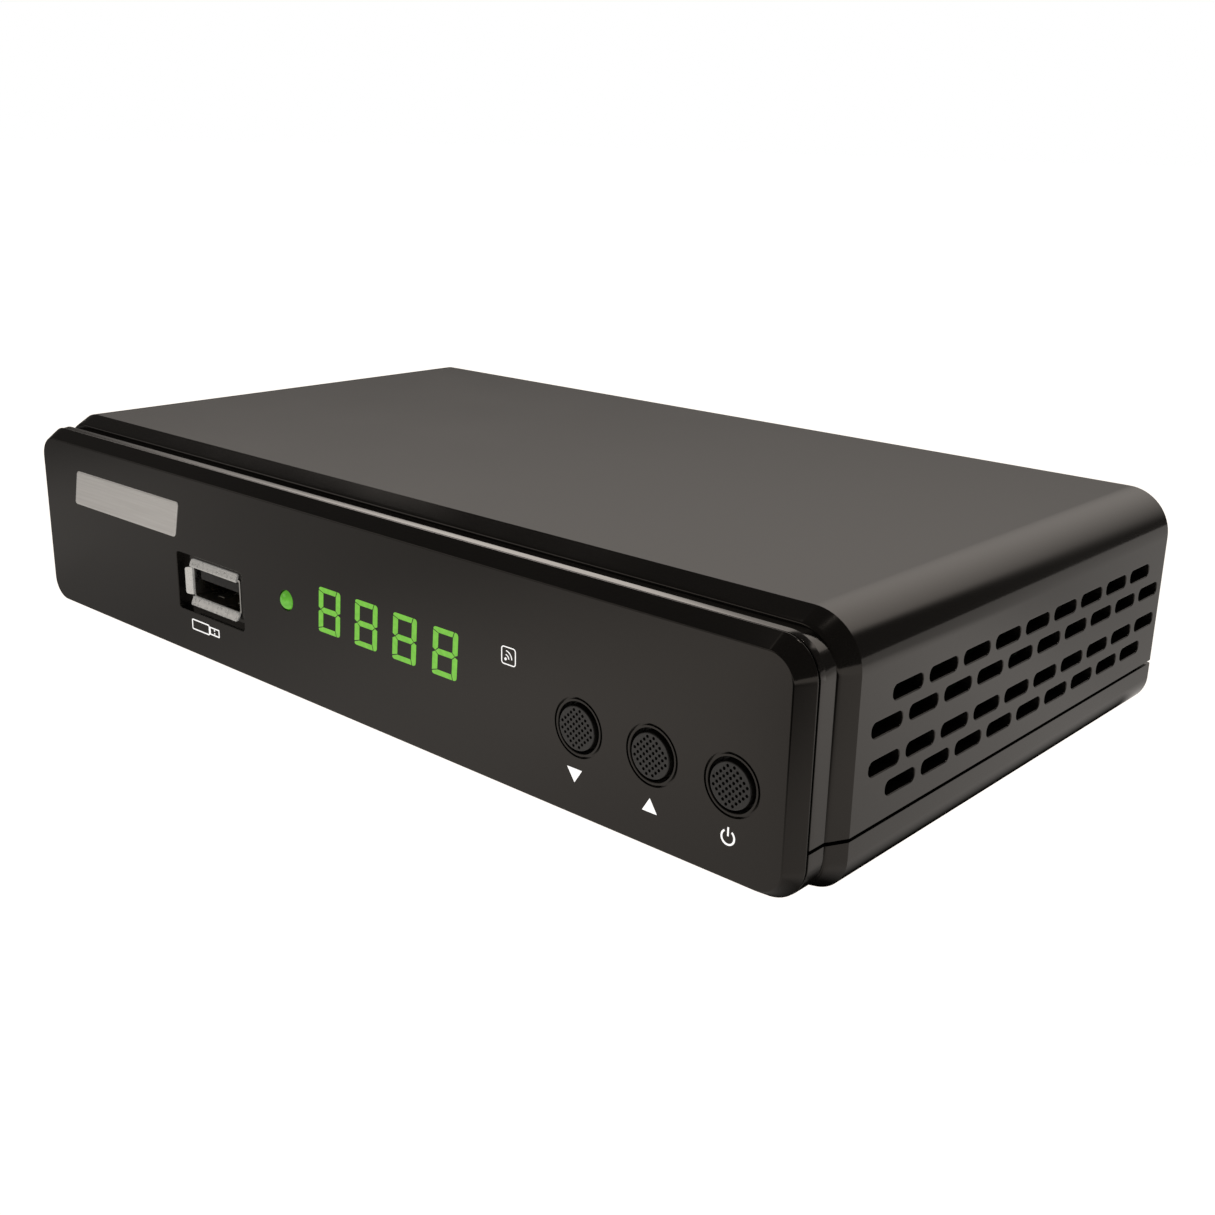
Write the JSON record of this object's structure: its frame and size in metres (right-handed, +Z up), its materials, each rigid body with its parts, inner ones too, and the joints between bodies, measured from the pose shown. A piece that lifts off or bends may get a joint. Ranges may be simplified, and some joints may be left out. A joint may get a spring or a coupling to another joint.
{
  "type": "set-top box video recorder",
  "caption": "Flat black set-top recorder with a raised front bezel, push buttons, USB socket, digit display, side vents, and aerial and video sockets behind.",
  "frame": {"origin": "middle of the footprint, on the surface that the feet stand on", "axes": "+X to the right seen from the front, +Y to the rear, +Z up"},
  "size_m": [0.17, 0.1058, 0.0366],
  "materials": {
    "gloss_black": "moulded, glossy",
    "button_black": "satin, with a dimpled face",
    "rubber": "matt",
    "black_plastic": "satin moulded",
    "white_plastic": "satin moulded",
    "board_green": "solder mask on glass-fibre board",
    "chip_black": "matt moulding compound",
    "tin": "tin-plated sheet",
    "zinc_screw": "zinc-plated",
    "black_screw": "blackened steel",
    "black_steel": "black powder coat",
    "brass": "turned",
    "heatsink": "black anodised",
    "capacitor": "sleeve of shrunk film",
    "led_green": "clear tinted resin, lit",
    "ribbon": "flat film cable"
  },
  "bodies": {
    "chassis": {"bottom_tray": "gloss_black", "capacitor_1": "capacitor", "capacitor_2": "capacitor", "capacitor_3": "capacitor", "capacitor_4": "capacitor", "case_screw_1": "black_screw", "case_screw_2": "black_screw", "case_screw_3": "black_screw", "case_screw_4": "black_screw", "crystal": "tin", "dc_jack": "black_plastic", "dc_jack_pin": "tin", "display_module": "black_plastic", "flash_chip": "chip_black", "foot_front_left": "rubber", "foot_front_right": "rubber", "foot_rear_left": "rubber", "foot_rear_right": "rubber", "front_bezel": "gloss_black", "front_pcb": "board_green", "front_screw_left": "zinc_screw", "front_screw_right": "zinc_screw", "hdmi_shell": "tin", "hdmi_tongue": "black_plastic", "heatsink": "heatsink", "ir_receiver": "chip_black", "led_spacer": "black_plastic", "main_chip": "chip_black", "main_pcb": "board_green", "memory_chip": "chip_black", "pcb_screw_1": "zinc_screw", "pcb_screw_2": "zinc_screw", "pcb_screw_3": "zinc_screw", "pcb_screw_4": "zinc_screw", "power_inductor": "chip_black", "rear_panel": "black_steel", "rf_in_contact": "brass", "rf_in_jack": "tin", "rf_out_jack": "tin", "rf_out_pin": "brass", "ribbon_cable": "ribbon", "ribbon_header_front": "white_plastic", "ribbon_header_main": "white_plastic", "scart_socket": "black_plastic", "status_led": "led_green", "switch_body_down": "black_plastic", "switch_body_power": "black_plastic", "switch_body_up": "black_plastic", "top_cover": "gloss_black", "tuner_can": "tin", "usb_shell": "tin", "usb_tongue": "black_plastic", "voltage_regulator": "chip_black"},
    "down_button": {"button_down": "button_black"},
    "down_plunger": {"switch_plunger_down": "white_plastic"},
    "up_button": {"button_up": "button_black"},
    "up_plunger": {"switch_plunger_up": "white_plastic"},
    "power_button": {"button_power": "button_black"},
    "power_plunger": {"switch_plunger_power": "white_plastic"}
  },
  "joints": [
    {"name": "down_press", "type": "slide", "parent": "chassis", "child": "down_button", "axis": [0, 1, 0], "range_m": [0, 0.0005], "stiffness_N_per_m": 2400},
    {"name": "up_press", "type": "slide", "parent": "chassis", "child": "up_button", "axis": [0, 1, 0], "range_m": [0, 0.0005], "stiffness_N_per_m": 2400},
    {"name": "power_press", "type": "slide", "parent": "chassis", "child": "power_button", "axis": [0, 1, 0], "range_m": [0, 0.0005], "stiffness_N_per_m": 2400},
    {"name": "down_switch_press", "type": "slide", "parent": "chassis", "child": "down_plunger", "axis": [0, 1, 0], "range_m": [0, 0.0003]},
    {"name": "up_switch_press", "type": "slide", "parent": "chassis", "child": "up_plunger", "axis": [0, 1, 0], "range_m": [0, 0.0003]},
    {"name": "power_switch_press", "type": "slide", "parent": "chassis", "child": "power_plunger", "axis": [0, 1, 0], "range_m": [0, 0.0003]}
  ],
  "couplings": [
    {"joint": "down_switch_press", "follows": "down_press", "ratio": 0.6},
    {"joint": "up_switch_press", "follows": "up_press", "ratio": 0.6},
    {"joint": "power_switch_press", "follows": "power_press", "ratio": 0.6}
  ]
}
